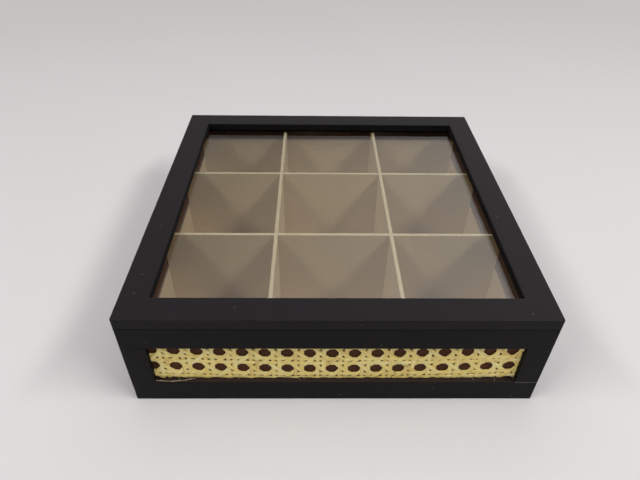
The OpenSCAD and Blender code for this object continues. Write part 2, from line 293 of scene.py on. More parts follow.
class Value:
    """An output of a shader node. Python's operators on it add Math nodes."""
    __add__ = math_method("ADD")
    __sub__ = math_method("SUBTRACT")
    __mul__ = math_method("MULTIPLY")
    __pow__ = math_method("POWER")
    __gt__ = math_method("GREATER_THAN")
    __lt__ = math_method("LESS_THAN")
    at_least = math_method("MAXIMUM")
    at_most = math_method("MINIMUM")

    def __init__(self, graph, socket):
        self.graph = graph
        self.socket = socket

    def spread(self, low, high):
        """This value stretched so that low becomes 0 and high 1, and held between them."""
        return self.graph.add("MapRange", {"clamp": True},
                              {"Value": self, "From Min": low, "From Max": high})


class Graph:
    """The nodes of one material or of the world."""

    def __init__(self, tree):
        self.tree = tree
        tree.nodes.clear()

    def add(self, kind, settings=None, inputs=None, output=0):
        """Adds a node, sets it, feeds its sockets and gives one of its outputs."""
        node = self.tree.nodes.new("ShaderNode" + kind)
        for name, setting in (settings or {}).items():
            if name == "stops":
                self.set_stops(node.color_ramp, setting)
            else:
                setattr(node, name, setting)
        for name, value in (inputs or {}).items():
            socket = node.inputs[name]
            if isinstance(value, Value):
                self.tree.links.new(value.socket, socket)
            elif socket.type == "RGBA":
                socket.default_value = (*value, 1.0)
            else:
                socket.default_value = value
        return Value(self, node.outputs[output]) if node.outputs else None

    def set_stops(self, ramp, stops):
        """Gives a colour ramp its stops, each a place and a colour."""
        while len(ramp.elements) < len(stops):
            ramp.elements.new(0.5)
        for element, (place, tone) in zip(ramp.elements, stops):
            element.position = place
            element.color = (*tone, 1.0)

    def place(self):
        """A point's place in the part's own frame."""
        return self.add("TexCoord", output="Object")

    def along(self, place, axis):
        """How far a place lies along an axis."""
        return self.add("SeparateXYZ", {}, {"Vector": place}, axis)

    def stretched(self, place, scale, turn=0.0):
        """Coordinates turned about Y and then scaled along each axis."""
        if turn:
            place = self.add("Mapping", {}, {"Vector": place, "Rotation": (0.0, turn, 0.0)})
        return self.add("Mapping", {}, {"Vector": place, "Scale": scale})

    def noise(self, place, scale, detail=2.0, roughness=0.5):
        """Soft noise from 0 to 1 with so many features to the metre."""
        return self.add("TexNoise", {}, {"Vector": place, "Scale": scale, "Detail": detail,
                                         "Roughness": roughness})

    def specks(self, place, scale, radius, share):
        """1 in round specks of a radius in metres, in a share of the cells, and 0 elsewhere."""
        cell = {"Vector": place, "Scale": scale}
        distance = self.add("TexVoronoi", {}, cell, "Distance")
        draw = self.add("SeparateColor", {}, {"Color": self.add("TexVoronoi", {}, cell, "Color")})
        return (distance < radius * scale) * (draw < share)

    def blend(self, factor, first, second):
        """Two colours mixed."""
        return self.add("Mix", {"data_type": "RGBA"}, {0: factor, 6: first, 7: second}, 2)

    def bump(self, height, depth):
        """A normal from a height, where a height of 1 stands depth metres proud."""
        return self.add("Bump", {}, {"Height": height, "Distance": depth})

    def surface(self, tone, roughness, specular=0.5, metallic=0.0, normal=None):
        """The shader of a surface with a colour and a roughness."""
        sockets = {"Base Color": tone, "Roughness": roughness, "Specular IOR Level": specular,
                   "Metallic": metallic}
        if normal is not None:
            sockets["Normal"] = normal
        return self.add("BsdfPrincipled", {}, sockets)

    def overlay(self, factor, below, above):
        """Two shaders mixed: the second over the first."""
        return self.add("MixShader", {}, {0: factor, 1: below, 2: above})

    def rays(self, kind):
        """1 for the rays of a kind, and 0 for the rest."""
        return self.add("LightPath", output=f"Is {kind} Ray")


def material(name, build):
    """The material of that name, made on its first use from the shader that build gives."""
    found = bpy.data.materials.get(name)
    if found is None:
        found = bpy.data.materials.new(name)
        found.use_nodes = True
        graph = Graph(found.node_tree)
        graph.add("OutputMaterial", {}, {"Surface": build(graph)})
    return found


def black_paint(name="black_satin_paint"):
    """Black satin paint with a faint mottle, a fine orange peel and stray dust. The front
    frame's is darker, painted shade for its dimly lit face, and its highlit kind carries a
    pale painted highlight along the joint under the right stile."""
    paint = bpy.context.scene.tea_paint
    # The front frame's paints take the darker tone, which is painted shade.
    base = paint.tone if name == "black_satin_paint" else paint.shaded_front_tone

    def build(graph):
        place = graph.place()
        cloud = graph.noise(place, 28.0, detail=3.0)
        peel = graph.noise(place, 850.0)
        dust = graph.specks(place, 140.0, radius=0.3 * MM, share=0.7)
        lint = graph.specks(place, 210.0, radius=0.11 * MM, share=0.10)
        tone = graph.blend(cloud.spread(0.3, 0.7) * 0.35, base, scaled(base, 1.35))
        tone = graph.blend(dust * 0.7 + lint * 0.5, tone, paint.speck)
        # Painted highlight: a pale line along the rail's up-facing rounded edge at the joint under
        # the right stile.
        if name == "highlit_shaded_frame_paint":
            under_stile = graph.along(place, "X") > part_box("front_right_stile")[0].x
            tone = graph.blend(under_stile * peel.spread(0.3, 0.5), tone, paint.joint_highlight)
        roughness = cloud * 0.12 + (paint.gloss - 0.06) + dust * 0.3
        return graph.surface(tone, roughness, paint.shine, normal=graph.bump(peel, 0.02 * MM))
    return material(name, build)


def inner_shade_paint():
    """Matt paint on the lid's inner edges and on the glass strips, darker than the rest: painted
    shade.
    """
    paint = bpy.context.scene.tea_paint

    def build(graph):
        cloud = graph.noise(graph.place(), 90.0, detail=3.0)
        tone = graph.blend(cloud.spread(0.3, 0.7) * 0.4, paint.inner, paint.tone)
        return graph.surface(tone, cloud * 0.1 + 0.75, specular=0.05)
    return material("inner_painted_shade", build)


def board_finish(name, face, fibre, pale=0.25, rim_shade_line=None):
    """Pressed board: a flat brown with fine fibres, pale grains, a soft cloud and a dry
    sheen. Above a line, where one is given, it grows dark: painted shade for the shade under the
    lid's rails."""
    board = bpy.context.scene.tea_board

    def build(graph):
        place = graph.place()
        cloud = graph.noise(place, 22.0, detail=3.0, roughness=0.6)
        grain = graph.noise(place, 1400.0, detail=3.0, roughness=0.7)
        fibres = graph.noise(graph.stretched(place, (1.0, 0.35, 0.6)), 900.0, detail=4.0,
                             roughness=0.7)
        tone = graph.blend(fibres.spread(0.42, 0.72) * 0.7, face, fibre)
        tone = graph.blend(cloud.spread(0.35, 0.75) * 0.3, tone, fibre)
        tone = graph.blend(grain.spread(0.62, 0.75) * pale, tone, board.grain)
        # Painted shade: the board darkens above the line, with a soft edge, for the shade under
        # the lid's rails.
        if rim_shade_line is not None:
            height = graph.along(place, "Z") + cloud * (2 * MM)
            shade_share = height.spread(rim_shade_line, rim_shade_line + board.rim_shade_fade)
            tone = graph.blend(shade_share, tone, board.rim_shade)
        return graph.surface(tone, grain * 0.15 + 0.7, specular=0.3,
                             normal=graph.bump(grain, 0.05 * MM))
    return material(name, build)


def board_face():
    """The faces of the dividers, the front wall and the bottom."""
    board = bpy.context.scene.tea_board
    return board_finish("bare_board_face", board.face, board.fibre)


def board_wall(name, rim_shade_depth):
    """The inner face of a wall, bare below and darkened near the rim by painted shade."""
    board = bpy.context.scene.tea_board
    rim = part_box("rear_wall")[1].z
    return board_finish(name, board.face, board.fibre, rim_shade_line=rim - rim_shade_depth)


def board_edge():
    """The cut edges of the dividers."""
    edge = bpy.context.scene.tea_board.edge
    return board_finish("bare_board_edge", edge, scaled(edge, 0.82))


def board_backing():
    """The dark brown board that shows through the cane."""
    backing = bpy.context.scene.tea_board.backing
    return board_finish("brown_backing_board", backing, scaled(backing, 0.6), pale=0.03)


def board_sill():
    """The dark brown top of the bottom rail in the window."""
    sill = bpy.context.scene.tea_board.sill
    return board_finish("brown_sill", sill, scaled(sill, 0.5), pale=0.03)


def cane_finish(name, turn):
    """Split cane whose strands run along X once turned about Y: streaky, with a glossy skin."""
    cane = bpy.context.scene.tea_cane

    def build(graph):
        place = graph.place()

        def streaks(along, across, detail, roughness=0.5):
            """Noise with so many features to the metre along and across a strand."""
            scale = (along, 1.0, across)
            return graph.noise(graph.stretched(place, scale, turn), 1.0, detail, roughness)

        strands = streaks(14.0, 290.0, detail=1.0)
        patches = streaks(60.0, 380.0, detail=2.0)
        grooves = streaks(70.0, 3600.0, detail=3.0, roughness=0.6)
        knots = streaks(160.0, 260.0, detail=1.0)
        stops = [(0.30, cane.tan), (0.47, cane.straw), (0.72, cane.pale)]
        tone = graph.add("ValToRGB", {"stops": stops}, {"Fac": strands})
        tone = graph.blend(patches.spread(0.5, 0.8) * 0.3, tone, cane.tan)
        tone = graph.blend(grooves.spread(0.54, 0.74) * 0.4, tone, cane.groove)
        tone = graph.blend(knots.spread(0.70, 0.78) * 0.5, tone, cane.groove)
        return graph.surface(tone, grooves * 0.2 + 0.3, specular=0.45,
                             normal=graph.bump(grooves, 0.05 * MM))
    return material(name, build)


def fibre_finish():
    """Dry bast fibre: pale, with browner lengths."""
    cane = bpy.context.scene.tea_cane

    def build(graph):
        patches = graph.noise(graph.place(), 700.0)
        tone = graph.blend(patches.spread(0.4, 0.7), cane.fibre, cane.tan)
        return graph.surface(tone, patches * 0.2 + 0.6)
    return material("loose_fibre", build)


def clear_glass():
    """Thin clear glass with dust and faint smudges: straight through, with a mirror that
    grows towards a grazing view."""
    glass = bpy.context.scene.tea_glass

    def build(graph):
        place = graph.place()
        graze = graph.add("LayerWeight", {}, {"Blend": 0.5}, "Facing")
        mirrored = graze ** 5.0 * (1.0 - glass.head_on) + glass.head_on
        through = graph.add("BsdfTransparent", {}, {"Color": glass.tint})
        mirror = graph.surface(WHITE, 0.03, metallic=1.0)
        dust = graph.specks(place, 80.0, radius=0.26 * MM, share=0.3)
        smudges = graph.noise(place, 32.0, detail=5.0, roughness=0.7).spread(0.55, 0.8)
        dirt = graph.surface(glass.dust, 0.9)
        clean = graph.overlay(mirrored, through, mirror)
        return graph.overlay(dust * 0.5 + smudges * 0.012, clean, dirt)
    return material("pane_glass", build)


def old_brass():
    """Brass with tarnish in patches and fine scratches."""
    brass = bpy.context.scene.tea_brass

    def build(graph):
        place = graph.place()
        patches = graph.noise(place, 260.0, detail=4.0, roughness=0.65)
        scratches = graph.noise(graph.stretched(place, (1.0, 1.0, 14.0)), 700.0)
        tone = graph.blend(patches.spread(0.42, 0.7), brass.bright, brass.tarnish)
        return graph.surface(tone, patches * 0.3 + 0.22, metallic=1.0,
                             normal=graph.bump(scratches, 0.02 * MM))
    return material("old_brass", build)


def floor_paper():
    """The pale floor, which fades into the background where the camera sees it far off."""
    stage = bpy.context.scene.tea_stage

    def build(graph):
        place = graph.place()
        cloud = graph.noise(place, 3.0)
        tone = graph.blend(cloud.spread(0.3, 0.7) * 0.15, stage.floor, stage.floor_cloud)
        paper = graph.surface(tone, 0.85, specular=0.2)
        reach = graph.add("VectorMath", {"operation": "LENGTH"}, {0: place}, "Value")
        faded = reach.spread(stage.near, stage.far) * graph.rays("Camera")
        distant = graph.add("Emission", {}, {"Color": stage.backdrop, "Strength": 1.0})
        return graph.overlay(faded, paper, distant)
    return material("pale_floor", build)


# ---- working on a piece ----


def choose(*things):
    """Selects these objects alone and makes the last of them active."""
    bpy.ops.object.select_all(action="DESELECT")
    for thing in things:
        thing.select_set(True)
    bpy.context.view_layer.objects.active = things[-1]


def added(operator, **settings):
    """The object that an operator adds."""
    choose(frame["bodies"]["case"])
    operator(**settings)
    return bpy.context.object


def edit(piece, kind, test, work):
    """Selects the vertices, edges or faces that pass a test and works on them in edit mode."""
    choose(piece)
    mesh = piece.data
    parts = {"VERT": mesh.vertices, "EDGE": mesh.edges, "FACE": mesh.polygons}
    for group in parts.values():
        group.foreach_set("select", [False] * len(group))
    for part in parts[kind]:
        part.select = test(part)
    bpy.context.tool_settings.mesh_select_mode = [kind == name for name in parts]
    bpy.ops.object.mode_set(mode="EDIT")
    work()
    bpy.ops.object.mode_set(mode="OBJECT")


def everything(part):
    """The test that everything passes."""
    return True


def cut_away(piece, point, outward, fill=False):
    """Cuts a piece at the plane through a point and takes off what lies outward of it."""
    edit(piece, "FACE", everything, lambda: bpy.ops.mesh.bisect(
        plane_co=point, plane_no=outward, use_fill=fill, clear_outer=True))


def apply_modifier(piece, kind, **settings):
    """Adds a modifier with these settings and applies it."""
    choose(piece)
    modifier = piece.modifiers.new(kind.lower(), kind)
    for name, setting in settings.items():
        setattr(modifier, name, setting)
    bpy.ops.object.modifier_apply(modifier=modifier.name)


def settle(piece):
    """Moves a piece's place, turn and size into its mesh."""
    choose(piece)
    bpy.ops.object.transform_apply(location=True, rotation=True, scale=True)


def joined(name, pieces):
    """Pieces made one, under a name."""
    choose(*pieces)
    bpy.ops.object.join()
    piece = bpy.context.object
    piece.name = piece.data.name = name
    return piece


def sharp_edges(mesh, axes, least):
    """Numbers of the convex edges that run along one of the axes and are long enough."""
    beside = {}
    for face in mesh.polygons:
        for key in face.edge_keys:
            beside.setdefault(key, []).append(face)
    found = set()
    for edge in mesh.edges:
        faces = beside.get(edge.key, [])
        if len(faces) != 2:
            continue
        along = mesh.vertices[edge.vertices[1]].co - mesh.vertices[edge.vertices[0]].co
        axis = max(range(3), key=lambda i: abs(along[i]))
        straight = abs(along[axis]) > STRAIGHT * along.length
        bent = faces[0].normal.angle(faces[1].normal, 0.0) > SHARP
        convex = faces[0].normal.dot(faces[1].center - faces[0].center) < 0
        if straight and bent and convex and "XYZ"[axis] in axes and along.length > least:
            found.add(edge.index)
    return found


def round_edges(piece, axes, radius, test=everything, least=0.8 * MM):
    """Rounds the sharp edges that run along some axes and whose middles pass a test."""
    if radius <= 0:
        return
    mesh = piece.data
    found = sharp_edges(mesh, axes, least)

    def wanted(edge):
        first, second = (mesh.vertices[index].co for index in edge.vertices)
        return edge.index in found and test((first + second) / 2)

    edit(piece, "EDGE", wanted, lambda: bpy.ops.mesh.bevel(
        offset=radius, offset_type="OFFSET", segments=2, affect="EDGES", clamp_overlap=True))


def round_corners(piece):
    """Rounds the upright outer corners of the box, plane by plane, where a piece has them."""
    radius = bpy.context.scene.tea_paint.corner
    low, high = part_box("lid_front_rail")[0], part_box("lid_rear_rail")[1]
    for x, y in ((low.x, low.y), (high.x, low.y), (low.x, high.y), (high.x, high.y)):
        outward = Vector((math.copysign(1, x), math.copysign(1, y), 0))
        centre = Vector((x, y, 0)) - radius * outward
        for degrees in (22.5, 45, 67.5):
            turn = math.radians(degrees)
            normal = Vector((outward.x * math.cos(turn), outward.y * math.sin(turn), 0))
            cut_away(piece, centre + radius * normal, normal, fill=True)


def smooth_flats(piece):
    """Shades rounded edges smooth and keeps the flats flat."""
    choose(piece)
    bpy.ops.object.shade_smooth_by_angle(angle=SMOOTH_BOARD)
    apply_modifier(piece, "WEIGHTED_NORMAL", weight=100, keep_sharp=True)


def coat(piece, finish, *patches):
    """Gives a piece its finish, and the faces that pass a patch's test the patch's own."""
    choose(piece)
    piece.data.materials.clear()
    piece.data.materials.append(finish)
    for index, (patch_finish, test) in enumerate(patches, 1):
        piece.data.materials.append(patch_finish)
        piece.active_material_index = index
        edit(piece, "FACE", test, bpy.ops.object.material_slot_assign)


def copy_of(node):
    """A merged copy of a CAD node, with flat faces in place of loose triangles."""
    choose(frame["nodes"][node])
    bpy.ops.object.duplicate()
    piece = bpy.context.object
    bpy.ops.object.parent_clear(type="CLEAR")
    piece.name = piece.data.name = node + "_dressed"
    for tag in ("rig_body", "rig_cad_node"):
        del piece[tag]
    bpy.ops.mesh.customdata_custom_splitnormals_clear()

    def merge():
        bpy.ops.mesh.remove_doubles(threshold=MERGE)
        bpy.ops.mesh.dissolve_limited(angle_limit=FLAT)

    edit(piece, "FACE", everything, merge)
    return piece


def stand_for(piece, node):
    """The piece takes the place of a CAD node on the body that carries it."""
    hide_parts(node)
    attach(piece, frame["nodes"][node]["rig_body"])


# ---- case ----

# A wall's bare inner face lies no further than this from its innermost plane.
BARE_DEPTH = 6 * MM
# The front edges of a rail or stile lie no further than this behind its front.
FRONT_DEPTH = 2 * MM
# The normals of the bottom rail's rounded front edge point up by shares between these.
# These faces carry the painted highlight under the right stile.
EDGE_UP = (0.2, 0.98)


def painted_wall(node, inward, corner_axes, inner_finish):
    """A wall that is painted outside and on its rim, and bare on its inner face, which carries
    painted shade near the rim.
    """
    inward = Vector(inward)
    low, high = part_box(node)
    inner = low if sum(inward) < 0 else high

    def bare(face):
        depth = (inner - face.center).dot(inward)
        return face.normal.dot(inward) > FACING and abs(depth) < BARE_DEPTH

    piece = copy_of(node)
    round_edges(piece, corner_axes, bpy.context.scene.tea_paint.joint)
    round_corners(piece)
    smooth_flats(piece)
    coat(piece, black_paint(), (inner_finish, bare))
    stand_for(piece, node)


class TEABOX_OT_case(bpy.types.Operator):
    """Dresses the two side walls, the rear wall, the front wall and the bottom"""
    bl_idname = "teabox.case"
    bl_label = "Case Walls"

    def execute(self, context):
        board = context.scene.tea_board
        # The walls' inner faces carry painted shade near the rim.
        side = board_wall("side_wall_with_rim_shade", board.side_rim_shade_depth)
        rear = board_wall("rear_wall_with_rim_shade", board.rim_shade_depth)
        painted_wall("left_wall", (1, 0, 0), "YZ", side)
        painted_wall("right_wall", (-1, 0, 0), "YZ", side)
        painted_wall("rear_wall", (0, -1, 0), "X", rear)
        front = copy_of("front_wall")
        coat(front, board_face(),
             (board_backing(), lambda face: face.normal.y < -FACING),
             (black_paint(), lambda face: face.normal.z > FACING))
        stand_for(front, "front_wall")
        bottom = copy_of("bottom_panel")
        coat(bottom, board_face())
        stand_for(bottom, "bottom_panel")
        return {"FINISHED"}


class TEABOX_OT_front_frame(bpy.types.Operator):
    """Dresses the rails and stiles round the cane window"""
    bl_idname = "teabox.front_frame"
    bl_label = "Front Frame"

    def execute(self, context):
        low, high = EDGE_UP
        bottom_patches = (
            (board_sill(), lambda face: face.normal.z > SQUARE_ON),
            # The up-facing rounded front edge gets the pale painted highlight under the right
            # stile.
            (black_paint("highlit_shaded_frame_paint"), lambda face: low < face.normal.z < high),
        )
        front_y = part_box("front_bottom_rail")[0].y
        for node, axes in {"front_bottom_rail": "XZ", "front_top_rail": "XZ",
                           "front_left_stile": "Z", "front_right_stile": "Z"}.items():
            piece = copy_of(node)
            round_edges(piece, axes, context.scene.tea_paint.easing,
                        lambda middle: middle.y < front_y + FRONT_DEPTH)
            round_corners(piece)
            smooth_flats(piece)
            patches = bottom_patches if node == "front_bottom_rail" else ()
            coat(piece, black_paint("shaded_frame_paint"), *patches)
            stand_for(piece, node)
        return {"FINISHED"}


class TEABOX_OT_dividers(bpy.types.Operator):
    """Dresses the four half-lapped dividers"""
    bl_idname = "teabox.dividers"
    bl_label = "Dividers"

    def execute(self, context):
        easing = context.scene.tea_board.easing
        for side, axis in {"left": "Y", "right": "Y", "front": "X", "rear": "X"}.items():
            node = "divider_" + side
            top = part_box(node)[1].z
            piece = copy_of(node)
            round_edges(piece, axis, easing, lambda middle: middle.z > top - MM)
            smooth_flats(piece)
            coat(piece, board_face(),
                 (board_edge(), lambda face: face.center.z > top - 2 * easing))
            stand_for(piece, node)
        return {"FINISHED"}


# ---- cane webbing ----

# Grid steps across a strand, and along one period of a pair's strand and of a diagonal.
ACROSS_STEPS = 4
PAIR_STEPS = 16
DIAGONAL_STEPS = 24
# Periods of an upright strand and of a diagonal that fill the window's height, odd numbers.
UPRIGHT_PERIODS = 5
DIAGONAL_PERIODS = 3
# How many degrees a strand's turn strays, and the factors that its width strays between.
STRAY_TURN = 0.25
STRAY_WIDTH = (0.94, 1.03)

# A loose fibre end: how far in and up from the panel's lower front edge it starts, its
# length and its radius, in millimetres, and its two turns in degrees.
WHISKER_IN = (0.1, 0.5)
WHISKER_UP = (0.6, 2.2)
WHISKER_LENGTH = (1.0, 2.6)
WHISKER_RADIUS = 0.09
WHISKER_LEAN = (10, 60)
WHISKER_TURN = (90, 270)
# The fibre on the sill: how far behind the rail's front it starts and its radius, in
# millimetres, and its stretches, each a length in millimetres and a turn in degrees.
SILL_FIBRE_IN = 1.2
SILL_FIBRE_RADIUS = 0.16
SILL_FIBRE = ((9, -4), (8, 5), (6, 14))


def strand(width, period, steps, lift, count):
    """A crowned strand along X, its face towards -Y: an odd number of periods about its own
    middle, each raised by lift(x)."""
    crown = bpy.context.scene.tea_cane.crown
    piece = added(bpy.ops.mesh.primitive_grid_add, x_subdivisions=steps,
                  y_subdivisions=ACROSS_STEPS, size=1.0, rotation=(math.radians(90), 0, 0))
    piece.scale = (period, width, 1)
    settle(piece)

    def push(axis, place, back):
        """Moves the vertices at a place along an axis back."""
        edit(piece, "VERT", lambda v: abs(v.co[axis] - place) < MERGE,
             lambda: bpy.ops.transform.translate(value=(0, back, 0)))

    for i in range(ACROSS_STEPS + 1):
        share = 2 * i / ACROSS_STEPS - 1
        push(2, share * width / 2, crown * share ** 2)
    for i in range(steps + 1):
        x = (i / steps - 0.5) * period
        push(0, x, -lift(x))
    apply_modifier(piece, "ARRAY", count=count, use_relative_offset=False,
                   use_constant_offset=True, constant_offset_displace=(period, 0, 0),
                   use_merge_vertices=True, merge_threshold=10 * MERGE)
    piece.location.x = -(count - 1) / 2 * period
    settle(piece)
    return piece


def scattered(source, places, turn, draw):
    """Copies in place of a strand, each turned about Y, set in its place and a little
    astray."""
    stray = bpy.context.scene.tea_cane.unevenness
    copies = []
    for x, z in places:
        choose(source)
        bpy.ops.object.duplicate()
        piece = bpy.context.object
        piece.rotation_euler.y = turn + math.radians(draw.uniform(-STRAY_TURN, STRAY_TURN))
        piece.scale.z = draw.uniform(*STRAY_WIDTH)
        piece.location = (x + draw.uniform(-stray, stray), draw.uniform(-stray, stray) / 3,
                          z + draw.uniform(-stray, stray))
        settle(piece)
        copies.append(piece)
    bpy.data.objects.remove(source)
    return copies


def bowed(piece, middle_z, reach):
    """Makes the flat webbing taller about its middle height and bends it, so that it stands
    higher by the bow at both ends of its reach."""
    cane = bpy.context.scene.tea_cane
    piece.location.y = -middle_z
    piece.rotation_euler.x = -math.radians(90)
    settle(piece)
    places = [v.co.x for v in piece.data.vertices]
    bend = 2 * cane.bow / cane.stretch / reach ** 2 * (max(places) - min(places))
    apply_modifier(piece, "SIMPLE_DEFORM", deform_method="BEND", deform_axis="Z", angle=bend)
    piece.scale.y = cane.stretch
    piece.location.z = middle_z
    piece.rotation_euler.x = math.radians(90)
    settle(piece)


def fray(strands, low, middle_z, draw):
    """Cuts strands off at the sill, each a little higher or lower than the next. The cut
    allows for the stretch and the bow that follow."""
    cane = bpy.context.scene.tea_cane
    for piece in strands:
        middle = sum(v.co.x for v in piece.data.vertices) / len(piece.data.vertices)
        end = low.z + cane.trim + draw.uniform(0, cane.fray) - cane.bow * (middle / low.x) ** 2
        cut = middle_z + (end - middle_z) / cane.stretch
        cut_away(piece, (0, 0, cut), (0, 0, -1))


def woven(name, strands, window, finish):
    """Strands joined into one piece, bowed, trimmed to the window, thickened and finished."""
    cane = bpy.context.scene.tea_cane
    piece = joined(name, strands)
    low, high = window
    bowed(piece, (low.z + high.z) / 2, high.x)
    for corner, outward in ((low, (-1, 0, 0)), (low, (0, 0, -1)),
                            (high, (1, 0, 0)), (high, (0, 0, 1))):
        cut_away(piece, corner, outward)
    apply_modifier(piece, "SOLIDIFY", thickness=cane.thickness, offset=-1.0)
    bpy.ops.object.shade_smooth_by_angle(angle=SMOOTH_CANE)
    coat(piece, finish)
    return piece


class TEABOX_OT_cane(bpy.types.Operator):
    """Weaves the cane webbing of the front window, strand by strand"""
    bl_idname = "teabox.cane"
    bl_label = "Cane Webbing"

    def execute(self, context):
        cane = context.scene.tea_cane
        draw = random.Random(cane.seed)
        pitch = cane.pitch
        low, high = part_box("cane_panel")
        backing_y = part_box("front_wall")[0].y
        middle_x = (low.x + high.x) / 2 + cane.shift_x
        middle_z = (low.z + high.z) / 2 + cane.shift_z
        window = (Vector((low.x, 0, low.z + cane.trim)), Vector((high.x, 0, high.z)))
        beside = (cane.pair_width + cane.pair_slit) / 2
        crossing = pitch / 2 - beside
        skew = math.log(0.5) / math.log(2 * crossing / pitch)
        diagonal_period = math.sqrt(2) * pitch

        def swing(x):
            """Over the strand that it meets right of a hole, and under the one left of it."""
            wave = math.sin(math.pi * abs(2 * x / pitch) ** skew)
            return cane.middle + math.copysign(cane.pair_swing * wave, x)

        def swing_back(x):
            return swing(-x)

        def over_levels(x):
            return cane.middle + cane.diagonal_swing * math.cos(
                2 * math.pi * x / diagonal_period)

        def under_levels(x):
            return 2 * cane.middle - over_levels(x)

        def pair_strand(width, lift, count):
            return strand(width, pitch, PAIR_STEPS, lift, count)

        def diagonal(lift):
            return strand(cane.diagonal_width, diagonal_period, DIAGONAL_STEPS, lift,
                          DIAGONAL_PERIODS)

        columns = math.ceil((high.x - low.x) / 2 / pitch) + 2
        level_periods = 2 * columns + 1
        heights = [middle_z + row * pitch for row in (-1, 0, 1)]
        pairs_x = [middle_x + (i + 0.5) * pitch for i in range(-columns, columns)]
        hole_z = middle_z - pitch / 2
        crossings = [(middle_x + i * pitch, middle_z) for i in range(-columns, columns + 1)]

        levels = scattered(pair_strand(cane.pair_width, swing, level_periods),
                           [(middle_x, z - beside) for z in heights], 0.0, draw)
        levels += scattered(pair_strand(cane.pair_width, swing_back, level_periods),
                            [(middle_x, z + beside) for z in heights], 0.0, draw)
        upright = -math.radians(90)
        uprights = scattered(pair_strand(cane.upright_width, swing_back, UPRIGHT_PERIODS),
                             [(x - beside, hole_z) for x in pairs_x], upright, draw)
        uprights += scattered(pair_strand(cane.upright_width, swing, UPRIGHT_PERIODS),
                              [(x + beside, hole_z) for x in pairs_x], upright, draw)
        slope = math.radians(45)
        rising = scattered(diagonal(over_levels), crossings, -slope, draw)
        falling = scattered(diagonal(under_levels), crossings, slope, draw)
        fray(uprights + rising + falling, low, (low.z + high.z) / 2, draw)

        for run, kind, strands, turn in (
                ("level", "pairs", levels, 0.0), ("upright", "pairs", uprights, upright),
                ("rising", "diagonals", rising, -slope), ("falling", "diagonals", falling, slope)):
            piece = woven(f"cane_{run}_{kind}", strands, window, cane_finish("cane_" + run, -turn))
            piece.location.y = backing_y
            settle(piece)
            stand_for(piece, "cane_panel")
        return {"FINISHED"}


def fibre(place, length, radius, turn):
    """A thin tapering fibre whose thick end stands at a place."""
    piece = added(bpy.ops.mesh.primitive_cone_add, vertices=6, radius1=radius,
                  radius2=radius / 3, depth=length, location=(0, 0, length / 2))
    settle(piece)
    piece.rotation_euler = turn
    piece.location = place
    settle(piece)
    return piece


class TEABOX_OT_fibres(bpy.types.Operator):
    """Adds the loose fibres at the lower edge of the webbing and on the sill"""
    bl_idname = "teabox.fibres"
    bl_label = "Loose Fibres"

    def execute(self, context):
        cane = context.scene.tea_cane
        draw = random.Random(cane.seed + 1)
        low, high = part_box("cane_panel")
        pieces = []
        for _ in range(cane.whiskers):
            place = (draw.uniform(low.x, high.x), low.y + draw.uniform(*WHISKER_IN) * MM,
                     low.z + draw.uniform(*WHISKER_UP) * MM)
            turn = (math.radians(draw.uniform(*WHISKER_LEAN)),
                    math.radians(draw.uniform(*WHISKER_TURN)), 0)
            length = draw.uniform(*WHISKER_LENGTH) * MM
            pieces.append(fibre(place, length, WHISKER_RADIUS * MM, turn))
        x, y, z = low.x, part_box("front_bottom_rail")[0].y + SILL_FIBRE_IN * MM, low.z
        for length, degrees in SILL_FIBRE:
            yaw = math.radians(degrees)
            turn = (0, math.radians(90), yaw)
            pieces.append(fibre((x, y, z), length * MM, SILL_FIBRE_RADIUS * MM, turn))
            x += length * MM * math.cos(yaw)
            y += length * MM * math.sin(yaw)
        fibres = joined("cane_fibres", pieces)
        coat(fibres, fibre_finish())
        smooth_flats(fibres)
        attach(fibres, "case")
        return {"FINISHED"}


# ---- lid ----

# An edge of a rail is on a mitre where it lies this close to a diagonal of the lid.
MITRE = 0.05 * MM


class TEABOX_OT_lid_frame(bpy.types.Operator):
    """Dresses the mitred rails of the lid and the strips that hold the glass"""
    bl_idname = "teabox.lid_frame"
    bl_label = "Lid Frame"

    def execute(self, context):
        for side, axes in {"front": "XZ", "rear": "XZ", "left": "YZ", "right": "YZ"}.items():
            rail = f"lid_{side}_rail"
            across = 1 - "XY".index(axes[0])
            inside = 1 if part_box(rail)[1][across] < 0 else -1

            def off_mitre(middle):
                """True off the mitres, where a rail only meets the next."""
                return abs(abs(middle.x) - abs(middle.y)) >= MITRE

            def inner(face):
                """True on the face that looks into the opening."""
                return inside * face.normal[across] > FACING

            piece = copy_of(rail)
            round_edges(piece, axes, context.scene.tea_paint.easing, off_mitre)
            round_corners(piece)
            smooth_flats(piece)
            # The faces that look into the opening get the darker paint, which is painted shade.
            coat(piece, black_paint(), (inner_shade_paint(), inner))
            stand_for(piece, rail)
            strip = copy_of("glass_strip_" + side)
            coat(strip, inner_shade_paint())
            stand_for(strip, "glass_strip_" + side)
        return {"FINISHED"}


class TEABOX_OT_glass(bpy.types.Operator):
    """Dresses the pane of the lid"""
    bl_idname = "teabox.glass"
    bl_label = "Glass Pane"

    def execute(self, context):
        pane = copy_of("glass_pane")
        round_edges(pane, "XYZ", context.scene.tea_glass.easing)
        smooth_flats(pane)
        coat(pane, clear_glass())
        stand_for(pane, "glass_pane")
        return {"FINISHED"}


# ---- hinges ----

# Of a leaf's edges, those this long that stand this far from its foremost face are rounded.
LEAF_EDGE_LENGTH = 3 * MM
LEAF_EDGE_PROUD = 0.3 * MM


